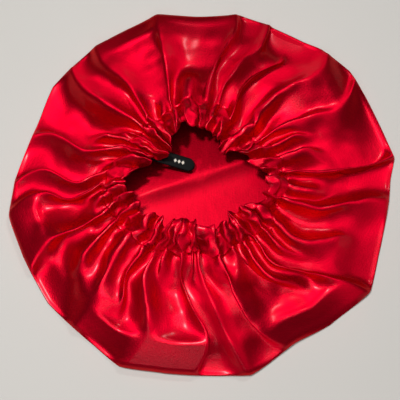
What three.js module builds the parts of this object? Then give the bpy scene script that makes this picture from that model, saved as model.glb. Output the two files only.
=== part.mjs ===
// Sleep bonnet in red satin, lying on its crown with the gathered opening facing up.
// Millimetres, +Z up. The origin is on the floor, under the middle of the outline's box.

import * as THREE from "three";
import { mergeVertices } from "three/addons/utils/BufferGeometryUtils.js";

// Driving dimensions
const CLOTH_WALL = 1.2; // satin with its hem, drawn as a wall
const CASING_WALL = 2.6; // two plies of satin with the elastic between them
const CASING_WIDTH = 34; // seam to rim, laid flat
const CASING_LIFT = 0.6; // share of the spare width that lifts the rim above the seam
const SEAM_HEIGHT = 33; // the seam's middle above the floor
const SEAM_GAP = 0.4; // slit between the crown's edge and the casing
const OPENING_CENTRE = { x: -6, y: 4 };
const CROWN_TURNS = 144; // facets round the crown
const CASING_TURNS = 288; // facets round the casing

// Gathers of the casing
const PLEAT_COUNT = 62;
const PLEAT_DEPTH = 3.6; // rise of a pleat above and below the band
const RIM_RUFFLE = 2.2; // how far the pleats push the rim in and out

// Folded ribbon label
const LABEL_LENGTH = 50; // root to fold, the first stretch lying under the casing
const LABEL_WIDTH = 13;
const LABEL_PLY = 0.8;
const LABEL_LOOP_RADIUS = 2.2; // outside of the rounded fold
const LABEL_ROOT_ANGLE = 153; // place round the opening, in degrees
const LABEL_ROOT_ACROSS = 0.7; // share of the casing's width from seam to rim
const LABEL_HEADING = -13; // the way it points in plan, in degrees
const LABEL_DROOP = 13; // slope below the horizontal, in degrees
const LABEL_GAP = 0.3; // clearance under the casing

// The laid outline: a row for each corner and each slack run between corners
const OUTLINE = [
  { angle: 2, reach: 187 },
  { angle: 11, reach: 192 },
  { angle: 30, reach: 192 },
  { angle: 39, reach: 196 },
  { angle: 50, reach: 193 },
  { angle: 57, reach: 189 },
  { angle: 70, reach: 188 },
  { angle: 78, reach: 191 },
  { angle: 91, reach: 186 },
  { angle: 104, reach: 193 },
  { angle: 114, reach: 187 },
  { angle: 126, reach: 187 },
  { angle: 145, reach: 185 },
  { angle: 160, reach: 181 },
  { angle: 178, reach: 189 },
  { angle: 188, reach: 192 },
  { angle: 202, reach: 187 },
  { angle: 218, reach: 188 },
  { angle: 234, reach: 187 },
  { angle: 246, reach: 195 },
  { angle: 259, reach: 186 },
  { angle: 276, reach: 186 },
  { angle: 284, reach: 192 },
  { angle: 301, reach: 178 },
  { angle: 326, reach: 190 },
  { angle: 340, reach: 182 },
];

// The opening about its own centre: the rim's inner edge, and the seam where the casing meets the crown
const OPENING = [
  { angle: 15, rim: 57, seam: 88 },
  { angle: 40, rim: 46, seam: 84 },
  { angle: 56, rim: 43, seam: 82 },
  { angle: 73, rim: 48, seam: 82 },
  { angle: 95, rim: 52, seam: 82 },
  { angle: 117, rim: 47, seam: 80 },
  { angle: 145, rim: 42, seam: 78 },
  { angle: 166, rim: 48, seam: 82 },
  { angle: 182, rim: 67, seam: 90 },
  { angle: 193, rim: 70, seam: 94 },
  { angle: 212, rim: 64, seam: 92 },
  { angle: 235, rim: 55, seam: 87 },
  { angle: 262, rim: 49, seam: 82 },
  { angle: 288, rim: 51, seam: 82 },
  { angle: 310, rim: 52, seam: 83 },
  { angle: 329, rim: 57, seam: 86 },
  { angle: 354, rim: 69, seam: 90 },
];

// Radial folds of the crown: where each ridge leaves the seam and heads for the outline, in degrees,
// how far along that way it runs, and how high it stands
const FOLDS = [
  { seam: 3, edge: 8, runs: 0.6, rise: 10 },
  { seam: 15, edge: 14, runs: 0.5, rise: 9 },
  { seam: 24, edge: 36, runs: 1.0, rise: 13 },
  { seam: 43, edge: 47, runs: 1.0, rise: 13 },
  { seam: 53, edge: 55, runs: 0.7, rise: 10 },
  { seam: 68, edge: 60, runs: 0.9, rise: 13 },
  { seam: 77, edge: 69, runs: 1.0, rise: 11 },
  { seam: 85, edge: 78, runs: 1.0, rise: 9 },
  { seam: 97, edge: 91, runs: 0.9, rise: 12 },
  { seam: 107, edge: 104, runs: 1.0, rise: 9 },
  { seam: 119, edge: 114, runs: 1.0, rise: 13 },
  { seam: 129, edge: 126, runs: 1.0, rise: 12 },
  { seam: 137, edge: 136, runs: 1.0, rise: 10 },
  { seam: 145, edge: 143, runs: 1.0, rise: 12 },
  { seam: 153, edge: 156, runs: 0.5, rise: 9 },
  { seam: 161, edge: 163, runs: 0.9, rise: 12 },
  { seam: 169, edge: 173, runs: 1.0, rise: 12 },
  { seam: 180, edge: 183, runs: 1.0, rise: 11 },
  { seam: 188, edge: 189, runs: 1.0, rise: 11 },
  { seam: 196, edge: 197, runs: 1.0, rise: 12 },
  { seam: 205, edge: 203, runs: 1.0, rise: 11 },
  { seam: 213, edge: 212, runs: 1.0, rise: 12 },
  { seam: 223, edge: 220, runs: 1.0, rise: 12 },
  { seam: 231, edge: 238, runs: 1.0, rise: 13 },
  { seam: 239, edge: 243, runs: 0.6, rise: 9 },
  { seam: 247, edge: 248, runs: 1.0, rise: 13 },
  { seam: 257, edge: 266, runs: 0.9, rise: 12 },
  { seam: 271, edge: 283, runs: 1.0, rise: 13 },
  { seam: 283, edge: 297, runs: 0.8, rise: 12 },
  { seam: 303, edge: 312, runs: 1.0, rise: 13 },
  { seam: 317, edge: 326, runs: 1.0, rise: 13 },
  { seam: 329, edge: 336, runs: 0.5, rise: 9 },
  { seam: 340, edge: 354, runs: 1.0, rise: 13 },
  { seam: 353, edge: 364, runs: 0.7, rise: 10 },
];
const FOLD_HALF_WIDTH = { seam: 4.2, edge: 9 }; // ridge half width, in millimetres
const FOLD_FADE = 0.18; // stretch over which a fold's tip dies away
const FLOOR_SHARE = 0.92; // share of the outline that lies flat on the floor

// Rings of the crown from the middle of the floor to the seam. A floor ring lies at a share of the outline,
// and a top ring at a share of the way back from the outline to the seam.
const CROWN_RINGS = [
  { on: "floor", share: 0, height: 0, folds: 0 },
  { on: "floor", share: 0.5, height: 0, folds: 0 },
  { on: "floor", share: FLOOR_SHARE, height: 0, folds: 0 },
  { on: "floor", share: 0.975, height: 3, folds: 0 },
  { on: "floor", share: 1, height: 9, folds: 0.1 },
  { on: "top", share: 0.05, height: 14.5, folds: 0.3 },
  { on: "top", share: 0.16, height: 18, folds: 0.55 },
  { on: "top", share: 0.32, height: 21.5, folds: 0.8 },
  { on: "top", share: 0.5, height: 24.5, folds: 1 },
  { on: "top", share: 0.68, height: 27, folds: 0.9 },
  { on: "top", share: 0.85, height: 30, folds: 0.6 },
  { on: "top", share: 1, height: SEAM_HEIGHT, folds: 0 },
];

// Stations of the casing's section, from the seam over the top to the rim and back underneath
const CASING_STATIONS = [
  { across: 0, side: 1, pleat: 0.05 },
  { across: 0.3, side: 1, pleat: 0.8 },
  { across: 0.7, side: 1, pleat: 1 },
  { across: 1, side: 0.7, pleat: 0.8 },
  { across: 1, side: -0.7, pleat: 0.8 },
  { across: 0.7, side: -1, pleat: 1 },
  { across: 0.3, side: -1, pleat: 0.8 },
  { across: 0, side: -1, pleat: 0.05 },
];

const FULL_TURN = 2 * Math.PI;
const radians = THREE.MathUtils.degToRad;
const lerp = THREE.MathUtils.lerp;

// A column of a closed table of angles, eased from row to row
function around(table, column, angle) {
  const degrees = THREE.MathUtils.euclideanModulo(THREE.MathUtils.radToDeg(angle), 360);
  const after = table.findIndex((row) => row.angle > degrees);
  const next = table[after < 0 ? 0 : after];
  const last = table[(after <= 0 ? table.length : after) - 1];
  const span = THREE.MathUtils.euclideanModulo(next.angle - last.angle, 360);
  const done = THREE.MathUtils.euclideanModulo(degrees - last.angle, 360) / span;
  return lerp(last[column], next[column], THREE.MathUtils.smoothstep(done, 0, 1));
}

function outlinePoint(angle) {
  const reach = around(OUTLINE, "reach", angle);
  return new THREE.Vector2(reach * Math.cos(angle), reach * Math.sin(angle));
}

function openingPoint(column, angle, outward) {
  const reach = around(OPENING, column, angle) + outward;
  return new THREE.Vector2(
    OPENING_CENTRE.x + reach * Math.cos(angle),
    OPENING_CENTRE.y + reach * Math.sin(angle),
  );
}

// Height of the crown's ridges at an angle, a share of the way from the outline back to the seam
function foldRise(angle, share, reach) {
  const halfWidth = lerp(FOLD_HALF_WIDTH.edge, FOLD_HALF_WIDTH.seam, share);
  return FOLDS.reduce((rise, fold) => {
    const middle = radians(lerp(fold.edge, fold.seam, share));
    const turn = THREE.MathUtils.euclideanModulo(angle - middle + Math.PI, FULL_TURN) - Math.PI;
    const fade = THREE.MathUtils.smoothstep(fold.runs + FOLD_FADE - (1 - share), 0, FOLD_FADE);
    return rise + fold.rise * fade * Math.exp(-(((turn * reach) / halfWidth) ** 2));
  }, 0);
}

// A lathe of the given rows whose every vertex is then set in its true place
function shapedLathe(rowCount, closed, turns, place) {
  const nominal = [];
  for (let row = 0; row < rowCount; row++) nominal.push(new THREE.Vector2(1, row));
  if (closed) nominal.push(nominal[0]);
  const lathe = new THREE.LatheGeometry(nominal, turns);
  lathe.deleteAttribute("normal");
  lathe.deleteAttribute("uv");
  const position = lathe.getAttribute("position");
  for (let i = 0; i < position.count; i++) {
    const row = (i % nominal.length) % rowCount;
    const turn = Math.floor(i / nominal.length) % turns;
    position.setXYZ(i, ...place(row, turn).toArray());
  }
  return mergeVertices(lathe, 1e-4);
}

// Outer face of the crown at one of its rings
function crownPoint(ring, turn) {
  const angle = (turn / CROWN_TURNS) * FULL_TURN;
  const edge = outlinePoint(angle);
  if (ring.on === "floor") {
    const rise = ring.folds * foldRise(angle, 0, edge.length());
    return new THREE.Vector3(edge.x * ring.share, edge.y * ring.share, ring.height + rise);
  }
  const spot = edge.lerp(openingPoint("seam", angle, SEAM_GAP), ring.share);
  const rise = ring.folds * foldRise(angle, ring.share, spot.length());
  return new THREE.Vector3(spot.x, spot.y, ring.height + rise);
}

function makeCrown() {
  const outer = CROWN_RINGS.map((ring) =>
    Array.from({ length: CROWN_TURNS }, (_, turn) => crownPoint(ring, turn)),
  );
  const lastRing = CROWN_RINGS.length - 1;
  // The wall's inner face lies one cloth wall inside the outer face, straight above it on the floor
  // and straight below it at the seam
  function innerPoint(ringIndex, turn) {
    const here = outer[ringIndex][turn];
    if (CROWN_RINGS[ringIndex].height === 0) return here.clone().setZ(here.z + CLOTH_WALL);
    if (ringIndex === lastRing) return here.clone().setZ(here.z - CLOTH_WALL);
    const ahead = outer[ringIndex][(turn + 1) % CROWN_TURNS];
    const behind = outer[ringIndex][(turn + CROWN_TURNS - 1) % CROWN_TURNS];
    const along = outer[ringIndex + 1][turn].clone().sub(outer[ringIndex - 1][turn]);
    const outward = ahead.clone().sub(behind).cross(along).normalize();
    return here.clone().addScaledVector(outward, -CLOTH_WALL);
  }
  const rowCount = 2 * CROWN_RINGS.length;
  return shapedLathe(rowCount, false, CROWN_TURNS, (row, turn) =>
    row <= lastRing ? outer[row][turn].clone() : innerPoint(rowCount - 1 - row, turn),
  );
}

// Wave of the gathers round the casing, with uneven pleats
function pleatWave(angle) {
  const drift = 2.1 * Math.sin(3 * angle + 0.7) + 1.3 * Math.sin(7 * angle);
  const swell = 0.75 + 0.25 * Math.sin(5 * angle + 1);
  return swell * Math.sin(PLEAT_COUNT * angle + drift);
}

function rimHeight(angle) {
  const plan = around(OPENING, "seam", angle) - around(OPENING, "rim", angle);
  const spare = Math.sqrt(Math.max(0, CASING_WIDTH ** 2 - plan ** 2));
  return SEAM_HEIGHT + CASING_LIFT * spare;
}

// A point on the casing's skin: across from the seam to the rim, on its upper (1) or lower (-1) side
function casingPoint(angle, station) {
  const wave = pleatWave(angle) * station.pleat;
  const seam = openingPoint("seam", angle, 0);
  const rim = openingPoint("rim", angle, RIM_RUFFLE * wave);
  const spot = seam.lerp(rim, station.across);
  const height = lerp(SEAM_HEIGHT, rimHeight(angle), station.across);
  const middle = height - CLOTH_WALL / 2 + PLEAT_DEPTH * wave;
  return new THREE.Vector3(spot.x, spot.y, middle + (station.side * CASING_WALL) / 2);
}

function makeCasing() {
  return shapedLathe(CASING_STATIONS.length, true, CASING_TURNS, (row, turn) =>
    casingPoint((turn / CASING_TURNS) * FULL_TURN, CASING_STATIONS[row]),
  );
}

// Side view of the folded ribbon: two plies sewn together at the root and open towards the fold
function makeLabel() {
  const foldStart = LABEL_LENGTH - LABEL_LOOP_RADIUS;
  const loop = (start, radius, halfRoot) => {
    const path = new THREE.Path();
    path.moveTo(start, -halfRoot);
    path.bezierCurveTo(LABEL_LENGTH / 2, -halfRoot, LABEL_LENGTH / 2, -radius, foldStart, -radius);
    path.absarc(foldStart, 0, radius, -Math.PI / 2, Math.PI / 2, false);
    path.bezierCurveTo(LABEL_LENGTH / 2, radius, LABEL_LENGTH / 2, halfRoot, start, halfRoot);
    return path;
  };
  const curveSegments = 5;
  const side = new THREE.Shape(loop(0, LABEL_LOOP_RADIUS, LABEL_PLY).getPoints(curveSegments));
  const hollow = loop(LABEL_LENGTH / 3, LABEL_LOOP_RADIUS - LABEL_PLY, LABEL_PLY / 4);
  side.holes.push(new THREE.Path(hollow.getPoints(curveSegments)));
  const ribbon = new THREE.ExtrudeGeometry(side, {
    depth: LABEL_WIDTH,
    bevelEnabled: false,
    curveSegments,
  });
  return ribbon.translate(0, 0, -LABEL_WIDTH / 2).rotateX(Math.PI / 2);
}

// The label's root hangs just under the lowest pleat above it
function labelRoot() {
  const angle = radians(LABEL_ROOT_ANGLE);
  const under = { across: LABEL_ROOT_ACROSS, side: -1, pleat: 1 };
  const root = casingPoint(angle, under);
  const halfTurn = LABEL_WIDTH / Math.hypot(root.x - OPENING_CENTRE.x, root.y - OPENING_CENTRE.y);
  let lowest = root.z;
  for (let turn = -halfTurn; turn <= halfTurn; turn += FULL_TURN / CASING_TURNS) {
    for (let across = LABEL_ROOT_ACROSS; across <= 1; across += 0.1) {
      lowest = Math.min(lowest, casingPoint(angle + turn, { ...under, across }).z);
    }
  }
  return root.setZ(lowest - LABEL_GAP - LABEL_PLY);
}

function cloth(colour, roughness) {
  return new THREE.MeshStandardMaterial({ color: colour, roughness, metalness: 0 });
}

function piece(name, geometry, material) {
  const mesh = new THREE.Mesh(geometry, material);
  mesh.name = name;
  return mesh;
}

const laid = new THREE.Group();
laid.add(piece("crown", makeCrown(), cloth(0xc4001f, 0.3)));
laid.add(piece("casing", makeCasing(), cloth(0xb8001c, 0.32)));

const label = piece("loop_label", makeLabel(), cloth(0x0b0a0b, 0.75));
label.position.copy(labelRoot());
label.rotation.set(0, radians(LABEL_DROOP), radians(LABEL_HEADING), "ZYX");
laid.add(label);

// The middle of the laid outline's box stands over the origin
const middle = new THREE.Box3().setFromObject(laid).getCenter(new THREE.Vector3());
laid.position.set(-middle.x, -middle.y, 0);

const bonnet = new THREE.Group();
bonnet.add(laid);

export default bonnet;
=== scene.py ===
# Red satin sleep bonnet, lying on its crown with the gathered opening up. Metres, +Z up.
import math

import bmesh
import bpy
import numpy as np
from mathutils import Matrix, Vector, noise


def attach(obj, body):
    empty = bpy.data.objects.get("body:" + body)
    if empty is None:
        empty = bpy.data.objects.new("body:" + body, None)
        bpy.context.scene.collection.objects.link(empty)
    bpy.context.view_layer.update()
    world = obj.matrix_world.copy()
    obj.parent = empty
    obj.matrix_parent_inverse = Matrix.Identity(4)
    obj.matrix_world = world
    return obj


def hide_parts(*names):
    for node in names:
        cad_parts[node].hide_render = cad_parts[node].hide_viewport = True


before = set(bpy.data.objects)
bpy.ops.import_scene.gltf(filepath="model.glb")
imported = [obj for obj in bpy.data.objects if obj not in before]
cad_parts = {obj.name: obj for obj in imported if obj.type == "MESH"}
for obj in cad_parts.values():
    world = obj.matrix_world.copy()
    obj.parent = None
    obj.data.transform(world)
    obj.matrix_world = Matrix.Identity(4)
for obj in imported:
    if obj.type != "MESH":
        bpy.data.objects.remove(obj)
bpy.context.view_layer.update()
scene = bpy.context.scene
mm = 0.001
print("frame:", ", ".join(sorted(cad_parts)))


# small helpers

def toLinear(hexColour):  # sRGB hex to the linear colour that a shader socket takes
    parts = [int(hexColour[i:i + 2], 16) / 255 for i in (1, 3, 5)]
    return [p / 12.92 if p <= 0.04045 else ((p + 0.055) / 1.055) ** 2.4 for p in parts] + [1.0]


def addNode(tree, kind, settings=None, links=None):  # sockets go by name, or by number where names repeat
    node = tree.nodes.new(kind)
    for name, value in (settings or {}).items():
        if isinstance(name, str) and hasattr(node, name):
            setattr(node, name, value)
        else:
            node.inputs[name].default_value = value
    for name, source in (links or {}).items():
        tree.links.new(source, node.inputs[name])
    return node


def newMaterial(name):
    material = bpy.data.materials.new(name)
    material.use_nodes = True
    material.node_tree.nodes.clear()
    return material, material.node_tree


def newObject(name, bm, material):
    mesh = bpy.data.meshes.new(name)
    bm.to_mesh(mesh)
    bm.free()
    mesh.shade_smooth()
    mesh.materials.append(material)
    piece = bpy.data.objects.new(name, mesh)
    scene.collection.objects.link(piece)
    return piece


def ease(value, low, high):
    share = np.clip((value - low) / (high - low), 0, 1)
    return share * share * (3 - 2 * share)


def readRow(rows, at):  # a two-column table, straight from row to row
    return float(np.interp(at, [row[0] for row in rows], [row[1] for row in rows]))


def readAround(rows, column, degrees):  # a closed table of angles, eased from row to row
    starts = np.array([row[0] - rows[0][0] for row in rows] + [360.0])
    values = np.array([row[column] for row in rows] + [rows[0][column]])
    turn = np.mod(degrees - rows[0][0], 360.0)
    index = np.clip(np.searchsorted(starts, turn, side="right") - 1, 0, len(rows) - 1)
    done = (turn - starts[index]) / (starts[index + 1] - starts[index])
    return values[index] + (values[index + 1] - values[index]) * ease(done, 0, 1)


def readCorners(rows, degrees, bow):  # a closed outline of corners, its sides bowed out a little
    starts = np.array([row[0] for row in rows] + [rows[0][0] + 360.0])
    reaches = np.array([row[1] for row in rows] + [rows[0][1]])
    turn = np.mod(degrees - starts[0], 360.0) + starts[0]
    index = np.clip(np.searchsorted(starts, turn, side="right") - 1, 0, len(rows) - 1)
    before, after = np.radians(turn - starts[index]), np.radians(starts[index + 1] - turn)
    near, far = reaches[index], reaches[index + 1]
    straight = near * far * np.sin(before + after) / (near * np.sin(before) + far * np.sin(after))
    return straight + (readAround(rows, 1, degrees) - straight) * bow


def polarPoint(centre, reach, degrees):
    turn = np.radians(degrees)
    return np.stack([centre[0] + reach * np.cos(turn), centre[1] + reach * np.sin(turn)], -1)


# camera

view = {
    "elevation": 75.0,  # degrees above the floor
    "aim": (-1.2, -17.0, 12.0),  # millimetres, the point in the middle of the picture
    "distance": 770.0,
    "lens": 70.0,
}


def makeCamera():
    tilt = math.radians(view["elevation"])
    back = Vector((0, -math.cos(tilt), math.sin(tilt)))
    camera = bpy.data.objects.new("camera", bpy.data.cameras.new("camera"))
    camera.data.lens = view["lens"]
    camera.location = Vector(view["aim"]) * mm + back * view["distance"] * mm
    camera.rotation_mode = "QUATERNION"
    camera.rotation_quaternion = (-back).to_track_quat("-Z", "Y")
    scene.collection.objects.link(camera)
    scene.camera = camera


makeCamera()
print("camera set")


# materials

satinWeave = {  # millimetres across and along the threads
    "slub": (1.1, 14.0),  # real threads are 0.15 wide, too fine to show
    "grain": (1.6, 1.6),  # sparkle of the floats; real ones are 0.4 long, too fine to show
    "detail": 2.0,
}


def satinShader(name, colours, roughness, shine, bumpHeight):
    material, tree = newMaterial(name)
    cut = addNode(tree, "ShaderNodeUVMap", {"uv_map": "cut"})
    patterns = []
    for size in (satinWeave["slub"], satinWeave["grain"]):
        scale = [1 / (side * mm) for side in (*size, 1.0)]
        stretch = addNode(tree, "ShaderNodeMapping", {"Scale": scale}, {"Vector": cut.outputs["UV"]})
        pattern = addNode(tree, "ShaderNodeTexNoise", {"Scale": 1.0, "Detail": satinWeave["detail"]}, {
            "Vector": stretch.outputs["Vector"],
        })
        patterns.append(pattern.outputs["Fac"])
    slub, grain = patterns
    tone = addNode(tree, "ShaderNodeMix", {
        "data_type": "RGBA",
        "A": toLinear(colours[0]),
        "B": toLinear(colours[1]),
    }, {"Factor": slub})
    rough = addNode(tree, "ShaderNodeMapRange", {"To Min": roughness[0], "To Max": roughness[1]},
                    {"Value": grain})
    both = addNode(tree, "ShaderNodeMath", {"operation": "ADD"}, {0: slub, 1: grain})
    bump = addNode(tree, "ShaderNodeBump", {"Strength": 1.0, "Distance": bumpHeight * mm},
                   {"Height": both.outputs["Value"]})
    warp = addNode(tree, "ShaderNodeTangent", {"direction_type": "UV_MAP", "uv_map": "cut"})
    shader = addNode(tree, "ShaderNodeBsdfPrincipled", shine, {
        "Base Color": tone.outputs["Result"],
        "Roughness": rough.outputs["Result"],
        "Normal": bump.outputs["Normal"],
        "Tangent": warp.outputs["Tangent"],
    })
    addNode(tree, "ShaderNodeOutputMaterial", links={"Surface": shader.outputs["BSDF"]})
    return material


def satinFace():
    # woven polyester satin, floats outwards: a broad deep-red sheen and a thin pale line along each ridge
    return satinShader("polyesterSatinFace", ("#e0002a", "#c40022"), (0.5, 0.6), {
        "Metallic": 0.97,
        "Anisotropic": 0.7,
        "Coat Weight": 0.16,
        "Coat Roughness": 0.22,
        "Specular Tint": toLinear("#ff6a80"),
    }, bumpHeight=0.22)


def satinReverse():
    # the same satin seen from its back: shorter floats, so a duller, grainier sheen
    return satinShader("polyesterSatinReverse", ("#b0001c", "#920014"), (0.44, 0.6), {
        "Metallic": 0.95,
        "Anisotropic": 0.4,
        "Coat Weight": 0.03,
        "Coat Roughness": 0.25,
        "Specular Tint": toLinear("#ff6a80"),
    }, bumpHeight=0.15)


ribbonWeave = {  # millimetres
    "rib": 1.0,  # from rib to rib; real ones are 0.4 apart, too fine to show
    "ribHeight": 0.08,
    "ribStrength": 0.6,
    "motif": (27.0, 39.0),  # stretch of the ribbon that bears the woven lozenges, from its root
    "lozenge": 4.0,  # from one to the next
    "lozengeReach": 2.6,  # half its height
    "lozengeFill": 0.8,  # share of that room that is pale
}


def wovenRibbon():
    # taffeta ribbon: matt black with fine ribs across it, and a row of pale lozenges woven in
    material, tree = newMaterial("wovenTaffetaRibbon")
    flat = addNode(tree, "ShaderNodeUVMap", {"uv_map": "ribbon"})
    sides = addNode(tree, "ShaderNodeSeparateXYZ", links={"Vector": flat.outputs["UV"]})
    distance, across = sides.outputs["X"], sides.outputs["Y"]
    half, reach = ribbonWeave["lozenge"] / 2 * mm, ribbonWeave["lozengeReach"] * mm
    start, end = [edge * mm for edge in ribbonWeave["motif"]]
    waves = 2 * math.pi / (ribbonWeave["rib"] * mm)
    sums = {}  # each sum takes numbers, or the sockets and sums before it
    for name, operation, first, second in (
        ("fromFirst", "SUBTRACT", distance, start + half),
        ("fromMiddle", "PINGPONG", "fromFirst", half),
        ("lengthShare", "DIVIDE", "fromMiddle", half),
        ("fromAxis", "ABSOLUTE", across, 0.0),
        ("heightShare", "DIVIDE", "fromAxis", reach),
        ("away", "ADD", "lengthShare", "heightShare"),
        ("inLozenge", "LESS_THAN", "away", ribbonWeave["lozengeFill"]),
        ("pastStart", "GREATER_THAN", distance, start),
        ("beforeEnd", "LESS_THAN", distance, end),
        ("inRow", "MULTIPLY", "pastStart", "beforeEnd"),
        ("pale", "MULTIPLY", "inLozenge", "inRow"),
        ("turn", "MULTIPLY", distance, waves),
        ("ribs", "SINE", "turn", 0.0),
    ):
        settings, links = {"operation": operation}, {}
        for socket, value in enumerate((first, second)):
            if isinstance(value, float):
                settings[socket] = value
            else:
                links[socket] = sums.get(value, value)
        sums[name] = addNode(tree, "ShaderNodeMath", settings, links).outputs["Value"]
    tone = addNode(tree, "ShaderNodeMix", {
        "data_type": "RGBA",
        "A": toLinear("#030303"),
        "B": toLinear("#c4bbae"),
    }, {"Factor": sums["pale"]})
    bump = addNode(tree, "ShaderNodeBump", {
        "Strength": ribbonWeave["ribStrength"],
        "Distance": ribbonWeave["ribHeight"] * mm,
    }, {"Height": sums["ribs"]})
    shader = addNode(tree, "ShaderNodeBsdfPrincipled", {
        "Roughness": 0.7,
        "Specular IOR Level": 0.15,
    }, {"Base Color": tone.outputs["Result"], "Normal": bump.outputs["Normal"]})
    addNode(tree, "ShaderNodeOutputMaterial", links={"Surface": shader.outputs["BSDF"]})
    return material


satin = satinFace()
reverse = satinReverse()
ribbon = wovenRibbon()
print("materials made")


# how the bonnet lies: reaches in millimetres from a centre, by angle in degrees

laid = {
    "outlineCentre": (0.86, -0.80),
    "outline": [  # angle, reach
        (1, 190), (9, 198), (30, 196), (39, 200), (50, 197), (57, 193), (70, 193), (78, 195), (91, 190),
        (104, 197), (114, 192), (126, 191), (145, 190), (160, 182), (178, 189), (189, 195), (202, 190),
        (218, 190), (234, 188), (246, 194), (259, 187), (276, 187), (284, 191), (300, 179), (312, 185),
        (327, 195), (341, 187),
    ],
    "outlineBow": 0.35,  # 0 for straight sides between the corners, 1 for round ones
    "openingCentre": (-5.14, 3.20),
    "opening": [  # angle, rim, seam
        (15, 50, 80), (40, 38, 71), (56, 37, 68), (73, 45, 73), (95, 52, 77), (117, 46, 73),
        (145, 38, 68), (166, 45, 74), (182, 67, 89), (193, 70, 92), (212, 65, 89), (235, 58, 83),
        (262, 53, 79), (288, 55, 80), (310, 56, 81), (329, 61, 84), (354, 71, 92),
    ],
    "floorGap": 0.6,  # the cloth above the floor
    "turnRadius": 2.6,  # where the cloth turns up at the outline
    "crest": [  # share of the way from outline to seam, height of the ridges
        (0, 10), (0.1, 15), (0.25, 21.5), (0.5, 30), (0.75, 34.5), (0.9, 35.5), (1, 34.5),
    ],
    "lowestValley": 2.0,  # the folds' valleys stay above this
    "casingWidth": 34.0,
    "casingLift": 0.55,  # share of the casing's spare width that lifts its rim
    "casingPuff": 5.0,
    "innerFold": ((-57, -9), (63, 32)),  # ends of the soft fold on the floor of the hollow
    "innerFoldHeight": 6.5,
    "innerFoldWidth": 22.0,
    "innerFoldSides": (2.2, 0.5),  # shares of that width on the far side and on the steeper near side
    "innerFoldSharp": 1.4,  # low is a sharp fold, high a round one
    "innerFoldFade": (-0.35, 0.2, 0.8, 1.3),  # shares of its length where it begins, is full, wanes and ends
}

# main ridges of the crown: angle at the outline, angle at the seam, place of the valley in the panel
# after it, and whether the ridge runs out as far as the outline
ridges = [
    (36, 28, 0.25, True), (47, 42, 0.72, True), (58, 60, 0.3, False), (68, 72, 0.6, True),
    (79, 83, 0.35, True), (105, 111, 0.22, True), (127, 130, 0.4, True), (137, 138, 0.6, True),
    (163, 160, 0.7, True), (179, 177, 0.65, True), (188, 187, 0.35, True), (207, 203, 0.3, True),
    (219, 214, 0.6, False), (229, 225, 0.6, True), (238, 235, 0.35, False), (247, 244, 0.6, True),
    (268, 259, 0.3, True), (283, 272, 0.7, True), (297, 286, 0.75, True), (326, 311, 0.3, True),
    (340, 329, 0.5, False), (355, 343, 0.65, True), (369, 360, 0.2, True),
]

# pleats that reach far out into the crown as fingers: angle, share of the way to the seam where they begin
fingers = [(46, 0.4), (86, 0.5), (131, 0.62), (157, 0.5), (231, 0.4), (311, 0.3), (367, 0.35), (374, 0.5)]

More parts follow.
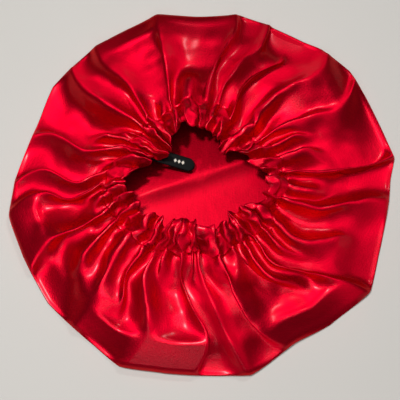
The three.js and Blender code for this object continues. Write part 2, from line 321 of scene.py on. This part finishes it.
# a place past the outline is 0 at the outline, 1 at the seam and 2 at the rim
cloth = {
    "columns": 512,
    "floorShares": [0, *np.arange(0.025, 0.41, 0.025), 0.5, 0.62, 0.74, 0.84, 0.91, 0.96],
    "turnAngles": [-90, -55, -20, 15, 50],
    "topRows": 34,
    "casingRows": 11,
    "ringSteps": 1441,  # points on a ring before it is folded
    "panelSteps": 121,  # points along the cut from ridge to ridge
    "halvings": 24,  # of the range in which a fold's steepness is sought
    "gather": [  # place past the outline, laid ring over cut ring
        (0, 0.955), (0.1, 0.91), (0.2, 0.85), (0.35, 0.75), (0.5, 0.65), (0.65, 0.56), (0.8, 0.48),
        (0.9, 0.44), (1, 0.45), (1.3, 0.33), (2, 0.4),
    ],
    "steepest": 2.3,  # radians, the slope of a fold past which its sides would meet
    "crisp": (0.5, 0.75, 1.0),  # main folds, pleats in the crown and in the casing: low is a sharp ridge
    "slack": 1.3,  # degrees of cut that a panel gains from its neighbour
    "floorHold": 0.3,  # share of the floor's reach inside which the cloth lies as it was cut
    "ridgeRise": (3.0, 2.0),  # uneven height of the ridges, halfway in and at the quarters
    "ridgeBow": (5.5, 4.0),  # degrees that the ridges bow and sway sideways
    "ridgeBowMarks": 15,  # strays round the bonnet
    "mainStart": 0.2,  # share of the way to the seam where the shorter ridges begin
    "mainStartStray": 0.12,
    "mainStartMarks": 24,
    "mainGrowth": 0.3,  # share of the way over which they grow
    "edgeDip": 0.75,  # share of the edge's height lost where a valley runs out
    "edgeDipFrom": 0.2,  # place past the outline whose valleys the edge follows
    "edgeDipDeep": 90,  # percentile of their depth that counts as a whole dip
    "edgeDipFade": 0.3,  # place past the outline where the dips have ended
    "pleatGap": 10.0,  # degrees of cut from pleat to pleat, about
    "pleatStart": (0.5, 0.85),  # share of the way to the seam where a pleat begins
    "pleatGrowth": 0.28,  # share of the way over which it grows
    "pleatValley": (0.3, 0.7),  # place of the valley after a pleat
    "uneven": 0.3,  # how far a pleat's mark strays from an even spacing
    "pleatStray": 1.3,  # degrees that a pleat sways on its way through the casing
    "pleatStrayAt": (0.6, 1.0, 1.5, 2.0),  # places past the outline; the first has no stray yet
    "pleatLean": 5.0,  # millimetres that a pleat's ridge leans over
    "pleatLeanFull": 1.3,  # place past the outline where it leans all the way
    "pleatRise": (-1.0, 3.5),  # uneven height of the pleats: lowest share, millimetres
    "pleatRiseWave": 0.8,  # half waves of that height across the casing
    "seamRise": (-0.3, 6.0),  # how far pleats stand up over the seam: lowest share, millimetres
    "seamRiseWidth": 0.16,
    "casingPleatsFull": 1.2,  # place past the outline where the casing has its own pleats
    "rimScallop": 0.45,  # inward swell of the rim for each millimetre of a pleat's height
    "rimScallopFrom": 0.3,  # share of the casing's width where it begins
    "wander": (5.0, 4.0, 3.5),  # the seam's and rim's stray in and out, and the puff's up and down
    "wanderMarks": 42,
    "creases": [  # small uneven creases: size, height, and its share by place past the outline
        (9.5, 3.6, [(0.7, 0), (1.0, 0.5), (1.2, 1), (1.8, 1), (2, 0.6)]),
        (5.0, 1.5, [(0.85, 0), (1.0, 0.5), (1.2, 1), (1.8, 1), (2, 0.6)]),
        (26.0, 2.4, [(0.05, 0), (0.3, 1), (0.7, 1), (1.0, 0.3), (1.1, 0)]),
        (10.0, 0.5, [(0.1, 0), (0.3, 1), (1.0, 1), (1.1, 0)]),
    ],
    "mergeGap": 1e-7,  # metres
    "seed": 11,
}
random = np.random.default_rng(cloth["seed"])
noise.seed_set(cloth["seed"])  # without it, noise_vector starts from the clock
around = np.linspace(0, 360, cloth["ringSteps"])
panelPlaces = np.linspace(0, 1, cloth["panelSteps"])


def wanderRow(count, size):  # a closed table of random strays
    return [(360 * k / count, random.uniform(-size, size)) for k in range(count)]


seamWander, rimWander, puffWander = [wanderRow(cloth["wanderMarks"], size) for size in cloth["wander"]]


def listRows():  # kind of row, share of its stretch, place past the outline
    top, casing = cloth["topRows"], cloth["casingRows"]
    rows = [("floor", share, 0.0) for share in cloth["floorShares"]]
    rows += [("turn", angle, 0.0) for angle in cloth["turnAngles"]]
    rows += [("top", k / top, k / top) for k in range(top + 1)]
    rows += [("casing", k / casing, 1 + k / casing) for k in range(1, casing + 1)]
    return rows


clothRows = listRows()
seamRow = len(clothRows) - 1 - cloth["casingRows"]


def insideFold(plan):  # soft fold that lies across the floor of the hollow
    start, end = np.array(laid["innerFold"][0]), np.array(laid["innerFold"][1])
    way = (end - start) / np.linalg.norm(end - start)
    along = (plan - start) @ way / np.linalg.norm(end - start)
    off = (plan - start) @ np.array([-way[1], way[0]]) / laid["innerFoldWidth"]
    side = np.where(off > 0, *laid["innerFoldSides"])
    begins, full, wanes, ends = laid["innerFoldFade"]
    fade = ease(along, begins, full) * ease(-along, -ends, -wanes)
    return laid["innerFoldHeight"] * np.exp(-np.abs(off / side) ** laid["innerFoldSharp"]) * fade


def smoothRing(kind, share):  # a row's ring with no folds in it: plan and height
    turnRadius = laid["turnRadius"]
    reach = readCorners(laid["outline"], around, laid["outlineBow"])
    rimReach = readAround(laid["opening"], 1, around) + readAround(rimWander, 1, around)
    seamReach = readAround(laid["opening"], 2, around) + readAround(seamWander, 1, around)
    inner = polarPoint(laid["outlineCentre"], reach - turnRadius, around)
    seam = polarPoint(laid["openingCentre"], seamReach, around)
    if kind == "floor":
        plan = polarPoint(laid["outlineCentre"], share * (reach - turnRadius), around)
        height = laid["floorGap"] + insideFold(plan)
    elif kind == "turn":
        bend = math.radians(share)
        plan = polarPoint(laid["outlineCentre"], reach - turnRadius * (1 - math.cos(bend)), around)
        height = np.full(len(around), laid["floorGap"] + turnRadius * (1 + math.sin(bend)))
    elif kind == "top":
        plan = inner + (seam - inner) * share
        height = np.full(len(around), readRow(laid["crest"], share))
    else:
        plan = seam + (polarPoint(laid["openingCentre"], rimReach, around) - seam) * share
        spare = np.sqrt(np.maximum(0, laid["casingWidth"] ** 2 - (seamReach - rimReach) ** 2))
        puff = (laid["casingPuff"] + readAround(puffWander, 1, around)) * math.sin(math.pi * share)
        height = laid["crest"][-1][1] + laid["casingLift"] * spare * share + puff
    return plan, height


def ringLengths(plan):  # length along a ring up to each of its points
    return np.concatenate([[0], np.cumsum(np.linalg.norm(np.diff(plan, axis=0), axis=1))])


def inwards(plan):  # steps of length 1 towards the middle of the opening
    toMiddle = np.array(laid["openingCentre"]) - plan
    return toMiddle / np.linalg.norm(toMiddle, axis=1)[:, None]


def valleyWave(valley, crisp):  # slope of one valley between two ridges, its lowest line at that share
    gentle = min(valley, 1 - valley) / max(valley, 1 - valley)
    falling, rising = (1.0, gentle) if valley < 0.5 else (gentle, 1.0)
    before = np.clip(panelPlaces / valley, 0, 1) ** crisp
    after = np.clip((1 - panelPlaces) / (1 - valley), 0, 1) ** crisp
    return np.where(panelPlaces < valley, -falling * np.sin(np.pi * before), rising * np.sin(np.pi * after))


def foldedLine(slope, ratio):  # runs and drops along a panel that is laid at that share of its cut width
    low, high = 0.0, cloth["steepest"] / np.abs(slope).max()
    for _ in range(cloth["halvings"]):
        middle = (low + high) / 2
        if np.cos(middle * slope).mean() > ratio:
            low = middle
        else:
            high = middle
    parts = []
    for rate in (np.cos(low * slope), np.sin(low * slope)):
        steps = (rate[1:] + rate[:-1]) / 2 / (len(rate) - 1)
        parts.append(np.concatenate([[0], np.cumsum(steps)]))
    across, drop = parts
    return across / across[-1], (drop - panelPlaces * drop[-1]) * ratio / across[-1]


def pleatMarks(cutAt):  # the main ridges and, in their wide panels, more pleats between them
    marks = []
    for cut, after in zip(cutAt, [*cutAt[1:], cutAt[0] + 360]):
        parts = max(1, round((after - cut) / cloth["pleatGap"]))
        strays = random.uniform(-1, 1, parts) * cloth["uneven"]
        strays[0] = 0
        marks += [cut + (after - cut) * (k + strays[k]) / parts for k in range(parts)]
    return np.array(marks)


def foldLayer(cutAt, valleys, crisp, columns):  # which columns lie in each panel of a layer, and where in it
    layer = []
    for index, (cut, valley) in enumerate(zip(cutAt, valleys)):
        span = (cutAt[(index + 1) % len(cutAt)] - cut) % 360
        turns, inPanel = np.divmod(columns - cut, 360)
        own = np.nonzero(inPanel < span - 1e-9)[0]  # a column right on the next ridge isn't in this panel
        layer.append({
            "own": own,
            "inPanel": inPanel[own] / span,
            "turns": turns[own],
            "span": span,
            "valley": valley,
            "wave": valleyWave(valley, crisp),
        })
    return layer


def foldRing(layer, ridgeAt, along, cutReach, lean=None):  # place along the ring and drop, for each column
    perimeter = along[-1]
    at, fold = np.zeros(cloth["columns"]), np.zeros(cloth["columns"])
    for index, panel in enumerate(layer):
        after = (index + 1) % len(layer)
        own, inPanel = panel["own"], panel["inPanel"]
        start = ridgeAt[index]
        end = start + (ridgeAt[after] - start) % 360
        startAt, endAt = [np.interp(a % 360, around, along) + perimeter * (a // 360) for a in (start, end)]
        cutWidth = cutReach * math.radians(panel["span"])
        across, drop = foldedLine(panel["wave"], (endAt - startAt) / cutWidth)
        at[own] = startAt + np.interp(inPanel, panelPlaces, across) * (endAt - startAt)
        at[own] += panel["turns"] * perimeter
        fold[own] = np.interp(inPanel, panelPlaces, drop) * cutWidth
        if lean is not None:  # the ridges lean over sideways, the valleys stay
            at[own] += lean[index] * (1 - ease(inPanel, 0, panel["valley"]))
            at[own] += lean[after] * ease(inPanel, panel["valley"], 1)
    return at, fold


def edgeDips(outer, edgeAt):  # how far the edge sinks at each column, deepest in the valleys
    along = ringLengths(smoothRing("top", cloth["edgeDipFrom"])[0])
    cutReach = along[-1] / (2 * np.pi) / readRow(cloth["gather"], cloth["edgeDipFrom"])
    drop = -foldRing(outer, edgeAt, along, cutReach)[1]
    return cloth["edgeDip"] * np.minimum(1, drop / np.percentile(drop, cloth["edgeDipDeep"]))


def planFolds():  # where ridges and pleats are and how they stray, drawn once for all rows
    columns = np.arange(cloth["columns"]) * 360 / cloth["columns"]
    edgeAt = np.array([ridge[0] for ridge in ridges], float)
    seamAt = np.array([ridge[1] for ridge in ridges], float)
    valleyAt = np.array([ridge[2] for ridge in ridges])
    long = np.array([ridge[3] for ridge in ridges])
    cutAt = (edgeAt + seamAt) / 2 + random.uniform(-1, 1, len(ridges)) * cloth["slack"]
    pleatCut = pleatMarks(cutAt)
    pleatFrom = random.uniform(*cloth["pleatStart"], len(pleatCut))
    for angle, begin in fingers:
        pleatFrom[np.argmin(np.abs((pleatCut - angle + 180) % 360 - 180))] = begin
    bow, sway = [readAround(wanderRow(cloth["ridgeBowMarks"], size), 1, cutAt) for size in cloth["ridgeBow"]]
    rises = [readAround([(cut, random.uniform(-1, 1) * size) for cut in cutAt], 1, columns)
             for size in cloth["ridgeRise"]]
    startStrays = wanderRow(cloth["mainStartMarks"], cloth["mainStartStray"])
    pleatValleys = random.uniform(*cloth["pleatValley"], len(pleatCut))
    strays = random.uniform(-1, 1, (len(cloth["pleatStrayAt"]) - 1, len(pleatCut))) * cloth["pleatStray"]
    leans = random.uniform(-1, 1, len(pleatCut)) * cloth["pleatLean"]
    pleatRise, seamRise = [readAround([(cut, random.uniform(low, 1) * size) for cut in pleatCut], 1, columns)
                           for low, size in (cloth["pleatRise"], cloth["seamRise"])]
    mainCrisp, crownCrisp, casingCrisp = cloth["crisp"]
    outer = foldLayer(cutAt[long], valleyAt[long], mainCrisp, columns)
    return {
        "edgeAt": edgeAt,
        "seamAt": seamAt,
        "cutAt": cutAt,
        "long": long,
        "bow": bow,
        "sway": sway,
        "rises": rises,
        "outer": outer,
        "main": foldLayer(cutAt, valleyAt, mainCrisp, columns),
        "mainFrom": readAround(startStrays, 1, columns) + cloth["mainStart"],
        "edgeDip": edgeDips(outer, edgeAt[long]),
        "pleatCut": pleatCut,
        "pleatFrom": readAround(list(zip(pleatCut, pleatFrom)), 1, columns),
        "crownPleats": foldLayer(pleatCut, pleatValleys, crownCrisp, columns),
        "casingPleats": foldLayer(pleatCut, pleatValleys, casingCrisp, columns),
        "strays": strays,
        "leans": leans,
        "pleatRise": pleatRise,
        "seamRise": seamRise,
    }


def addFolds(folds, at, fold, ridgeAt, along, cutReach, past):  # shorter ridges, pleats, uneven heights
    toSeam = min(past, 1.0)
    laps = [np.concatenate([table - 360, table, table + 360]) for table in (folds["cutAt"], ridgeAt)]
    stray = np.array([np.interp(past, cloth["pleatStrayAt"], [0, *own]) for own in folds["strays"].T])
    pleatAt = np.interp(folds["pleatCut"], *laps) + stray
    lean = folds["leans"] * ease(past, 1.0, cloth["pleatLeanFull"])
    for layer, marks, ownLean, start, end in (
        (folds["main"], ridgeAt, None, folds["mainFrom"], folds["mainFrom"] + cloth["mainGrowth"]),
        (folds["crownPleats"], pleatAt, lean, folds["pleatFrom"], folds["pleatFrom"] + cloth["pleatGrowth"]),
        (folds["casingPleats"], pleatAt, lean, 1.0, cloth["casingPleatsFull"]),
    ):
        ownAt, ownFold = foldRing(layer, marks, along, cutReach, ownLean)
        grown = ease(past, start, end)
        at, fold = at + (ownAt - at) * grown, fold + (ownFold - fold) * grown
    fold += folds["pleatRise"] * math.sin(math.pi * max(0.0, past - 1) * cloth["pleatRiseWave"])
    fold += folds["seamRise"] * math.exp(-((past - 1) / cloth["seamRiseWidth"]) ** 2)
    halfway, quarters = folds["rises"]
    fold += halfway * math.sin(math.pi * toSeam) + quarters * math.sin(2 * math.pi * toSeam)
    return at, fold


def layRow(folds, kind, share, past):  # places of a row's columns, millimetres
    plan, height = smoothRing(kind, share)
    if kind == "floor" and share == 0:  # the middle of the floor disc
        return np.append(plan[0], height[0])
    along = ringLengths(plan)
    flat = kind in ("floor", "turn")
    cutReach = along[-1] / (2 * np.pi) / (1.0 if flat else readRow(cloth["gather"], past))
    toSeam = min(past, 1.0)
    ridgeAt = folds["edgeAt"] + (folds["seamAt"] - folds["edgeAt"]) * toSeam
    ridgeAt += folds["bow"] * math.sin(math.pi * toSeam) + folds["sway"] * math.sin(2 * math.pi * toSeam)
    if kind == "floor":
        ridgeAt = folds["cutAt"] + (folds["edgeAt"] - folds["cutAt"]) * ease(share, cloth["floorHold"], 1)
    at, fold = foldRing(folds["outer"], ridgeAt[folds["long"]], along, cutReach)
    if not flat:
        at, fold = addFolds(folds, at, fold, ridgeAt, along, cutReach, past)
    at = np.mod(at, along[-1])
    spot = np.stack([np.interp(at, along, plan[:, axis]) for axis in (0, 1)], -1)
    if kind == "casing":
        swell = (fold - fold.mean()) * cloth["rimScallop"] * ease(share, cloth["rimScallopFrom"], 1)
        spot += inwards(spot) * swell[:, None]
    lift = np.interp(at, along, height)
    if not flat:
        deepest = lift - laid["lowestValley"]
        lift += deepest * np.tanh(fold / deepest)
    if kind in ("turn", "top"):
        lift -= (lift - laid["floorGap"]) * folds["edgeDip"] * (1 - ease(past, 0, cloth["edgeDipFade"]))
    return np.column_stack([spot, lift])


def layCloth():  # places of all rows and columns, millimetres
    folds = planFolds()
    places = np.zeros((len(clothRows), cloth["columns"], 3))
    for row, (kind, share, past) in enumerate(clothRows):
        places[row] = layRow(folds, kind, share, past)
    return places


def crumpled(places):  # small uneven creases, strongest where the elastic draws the cloth up
    result = places.copy()
    for row, (kind, _, past) in enumerate(clothRows):
        if kind in ("floor", "turn"):
            continue
        for size, height, shares in cloth["creases"]:
            amount = height * readRow(shares, past)
            if amount > 0:
                result[row] += [amount * noise.noise_vector(Vector(spot) / size) for spot in places[row]]
    return result


def spunSheet(name, places, cut, material, closed=False):  # a ring sheet, one vertex at each row and column
    rows, columns = places.shape[:2]
    bm = bmesh.new()
    chain = [bm.verts.new(((row + 1) * mm, 0, 0)) for row in range(rows)]
    edges = [bm.edges.new(pair) for pair in zip(chain, chain[1:])]
    if closed:
        edges.append(bm.edges.new((chain[-1], chain[0])))
    bmesh.ops.spin(bm, geom=chain + edges, axis=(0, 0, 1), cent=(0, 0, 0), angle=2 * math.pi,
                   steps=columns, use_merge=True)
    rowLayer, columnLayer = bm.verts.layers.int.new("row"), bm.verts.layers.int.new("column")
    cutLayer = bm.loops.layers.uv.new("cut")
    for vert in bm.verts:
        vert[rowLayer] = round(vert.co.length / mm) - 1
        vert[columnLayer] = round(math.atan2(vert.co.y, vert.co.x) / (2 * math.pi) * columns) % columns
    for vert in bm.verts:
        vert.co = places[vert[rowLayer], vert[columnLayer]] * mm
    for face in bm.faces:
        for loop in face.loops:
            loop[cutLayer].uv = cut[loop.vert[rowLayer], loop.vert[columnLayer]]
    bmesh.ops.remove_doubles(bm, verts=bm.verts, dist=cloth["mergeGap"])
    bmesh.ops.recalc_face_normals(bm, faces=bm.faces)
    lowest = min(bm.faces, key=lambda face: face.calc_center_median().z)
    if lowest.normal.z > 0:  # the cloth that lies lowest faces down
        bmesh.ops.reverse_faces(bm, faces=bm.faces)
    return newObject(name, bm, material)


places = crumpled(layCloth())
print("cloth laid:", places.shape[0], "rows of", places.shape[1])

# the cut, spread flat, for the weave
cutSteps = np.linalg.norm(np.diff(places, axis=0), axis=2).mean(axis=1)
cutRadius = np.concatenate([[0], np.cumsum(cutSteps)]) * mm
cutTurns = np.arange(cloth["columns"]) * 2 * np.pi / cloth["columns"]
cutPlan = cutRadius[:, None, None] * np.stack([np.cos(cutTurns), np.sin(cutTurns)], -1)


# crown: one round of satin from the middle of the floor to the seam

crownSize = {"thickness": 0.5}


def makeCrown():
    crown = spunSheet("satinCrown", places[:seamRow + 1], cutPlan[:seamRow + 1], satin)
    wall = crown.modifiers.new("wall", "SOLIDIFY")
    wall.thickness = crownSize["thickness"] * mm
    wall.offset = -1.0
    wall.material_offset = 1
    crown.data.materials.append(reverse)
    return crown


crown = makeCrown()
print("crown made")


# casing: two plies with the elastic between them, gathered from the seam to the rim

casingSize = {
    "thickness": 3.0,
    "seamShare": 0.6,  # share of that thickness at the seam
    "fillRate": 2.0,  # how fast it reaches the whole, for each width of the casing
    "tuck": 0.8,  # how far below the crown's edge the casing's own edge is tucked
    "rimRound": 1.2,  # how far the rim's edge swells inwards
}


def makeCasing():
    outer = places[seamRow:]
    across = np.linspace(0, 1, len(outer))[:, None]
    inner = outer.copy()
    fill = np.minimum(1, casingSize["seamShare"] + casingSize["fillRate"] * across)
    inner[:, :, 2] -= casingSize["thickness"] * fill
    tucked = places[seamRow - 1] - [0, 0, casingSize["tuck"]]
    rim = (outer[-1] + inner[-1]) / 2
    rim[:, :2] += casingSize["rimRound"] * inwards(rim[:, :2])
    tube = np.concatenate([tucked[None], outer, rim[None], inner[::-1]])
    cut = cutPlan[seamRow:]
    cut = np.concatenate([cutPlan[seamRow - 1:seamRow], cut, cut[-1:], cut[::-1]])
    casing = spunSheet("gatheredCasing", tube, cut, satin, closed=True)
    smooth = casing.modifiers.new("smooth", "SUBSURF")
    smooth.levels = smooth.render_levels = 1
    return casing


casing = makeCasing()
print("casing made")


# label: a folded loop of ribbon that comes out from under the casing

labelSize = {
    "root": (-53.4, 27.8, 26.5),
    "length": 50.0,
    "width": 13.0,
    "thickness": 0.5,
    "rootGap": 0.5,  # from the middle to each ply at the root
    "loopRadius": 1.9,
    "heading": -13.0,  # degrees in plan
    "droop": 13.0,  # degrees below level
    "roundEnd": 7.0,  # length over which the pressed fold's corners are rounded off
    "roundness": 0.97,  # 1 would round them to the very edge
    "sag": 2.0,  # bow of the free end under its own weight
    "lengthSteps": 14,
    "bendSteps": 8,
    "widthSteps": 8,
}


def makeLabel():
    length, radius, width = labelSize["length"], labelSize["loopRadius"], labelSize["width"]
    gap, lengthSteps, bendSteps = labelSize["rootGap"], labelSize["lengthSteps"], labelSize["bendSteps"]
    bm = bmesh.new()
    straight = [(length - radius) * k / lengthSteps for k in range(lengthSteps)]
    bends = [math.radians(-90 + 180 * k / bendSteps) for k in range(bendSteps + 1)]
    spread = [gap + (radius - gap) * x / length for x in straight]
    profile = [(x, -z) for x, z in zip(straight, spread)]
    profile += [(length - radius + radius * math.cos(b), radius * math.sin(b)) for b in bends]
    profile += [(x, z) for x, z in zip(straight[::-1], spread[::-1])]
    chain = [bm.verts.new((x * mm, -width / 2 * mm, z * mm)) for x, z in profile]
    for pair in zip(chain, chain[1:]):
        bm.edges.new(pair)
    edges = bm.edges[:]
    for _ in range(labelSize["widthSteps"]):
        grown = bmesh.ops.extrude_edge_only(bm, edges=edges)["geom"]
        verts = [item for item in grown if isinstance(item, bmesh.types.BMVert)]
        bmesh.ops.translate(bm, verts=verts, vec=(0, width / labelSize["widthSteps"] * mm, 0))
        fresh = set(verts)
        edges = [item for item in grown if isinstance(item, bmesh.types.BMEdge) and set(item.verts) <= fresh]
    ribbonLayer = bm.loops.layers.uv.new("ribbon")
    for face in bm.faces:
        for loop in face.loops:
            side = 1 if loop.vert.co.z >= 0 else -1  # the lozenges are on the upper ply
            loop[ribbonLayer].uv = (side * loop.vert.co.x, loop.vert.co.y)
    for vert in bm.verts:
        off = abs(vert.co.y) / (width / 2 * mm)
        end = max(0, vert.co.x / mm - (length - labelSize["roundEnd"])) / labelSize["roundEnd"]
        corner = 1 - math.sqrt(max(0, 1 - labelSize["roundness"] * off ** 2))
        vert.co.x -= labelSize["roundEnd"] * mm * end * corner
        vert.co.z -= labelSize["sag"] * mm * (vert.co.x / (length * mm)) ** 2
    bmesh.ops.recalc_face_normals(bm, faces=bm.faces)
    turn = Matrix.Rotation(math.radians(labelSize["heading"]), 4, "Z")
    turn @= Matrix.Rotation(math.radians(labelSize["droop"]), 4, "Y")
    bmesh.ops.transform(bm, matrix=Matrix.Translation(Vector(labelSize["root"]) * mm) @ turn, verts=bm.verts)
    label = newObject("loopLabel", bm, ribbon)
    wall = label.modifiers.new("wall", "SOLIDIFY")
    wall.thickness = labelSize["thickness"] * mm
    wall.offset = -1.0
    return label


label = makeLabel()
print("label made")


# floor and lamps

studio = {
    "floorSize": 6.0,  # metres from the middle to the edge
    "floorPatch": 0.3,  # metres across, the paint's uneven patches
    "lamps": [  # name, place in metres, size in metres, watts
        ("key", (-0.36, 0.08, 1.4), 0.12, 16.0),
        ("second", (0.5, 0.85, 1.25), 0.12, 5.5),
        ("soft", (0.0, -0.25, 1.8), 1.5, 13.0),
        ("front", (-0.15, -1.15, 1.0), 0.7, 2.6),
    ],
    "aim": (0.0, 0.0, 0.02),
    "surround": 0.05,
}


def paintedFloor():
    # smooth matt paint, pale and a little uneven in tone
    material, tree = newMaterial("paleMattPaint")
    spot = addNode(tree, "ShaderNodeTexCoord")
    patches = addNode(tree, "ShaderNodeTexNoise", {"Scale": 1 / studio["floorPatch"], "Detail": 3.0},
                      {"Vector": spot.outputs["Object"]})
    tone = addNode(tree, "ShaderNodeMix", {
        "data_type": "RGBA",
        "A": toLinear("#b6b3ae"),
        "B": toLinear("#b0ada8"),
    }, {"Factor": patches.outputs["Fac"]})
    shader = addNode(tree, "ShaderNodeBsdfPrincipled", {"Roughness": 0.7},
                     {"Base Color": tone.outputs["Result"]})
    addNode(tree, "ShaderNodeOutputMaterial", links={"Surface": shader.outputs["BSDF"]})
    return material


def makeStudio():
    bm = bmesh.new()
    bmesh.ops.create_grid(bm, x_segments=1, y_segments=1, size=studio["floorSize"])
    floor = newObject("floor", bm, paintedFloor())
    for name, place, size, watts in studio["lamps"]:
        lamp = bpy.data.objects.new(name, bpy.data.lights.new(name, "AREA"))
        lamp.data.shape = "DISK"
        lamp.data.size = size
        lamp.data.energy = watts
        lamp.location = place
        lamp.rotation_mode = "QUATERNION"
        lamp.rotation_quaternion = (Vector(studio["aim"]) - Vector(place)).to_track_quat("-Z", "Y")
        scene.collection.objects.link(lamp)
    world = bpy.data.worlds.new("surround")
    world.use_nodes = True
    world.node_tree.nodes["Background"].inputs["Strength"].default_value = studio["surround"]
    world.node_tree.nodes["Background"].inputs["Color"].default_value = (1, 1, 1, 1)
    scene.world = world
    scene.view_settings.view_transform = "Standard"  # keeps the deep reds saturated


makeStudio()
print("studio set")


# each piece hangs from the root body, and the part it stands for is hidden

for piece, node, slot in (
    (crown, "crown", "satin"),
    (casing, "casing", "satin"),
    (label, "loop_label", "ribbon"),
):
    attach(piece, "root")
    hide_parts(node)
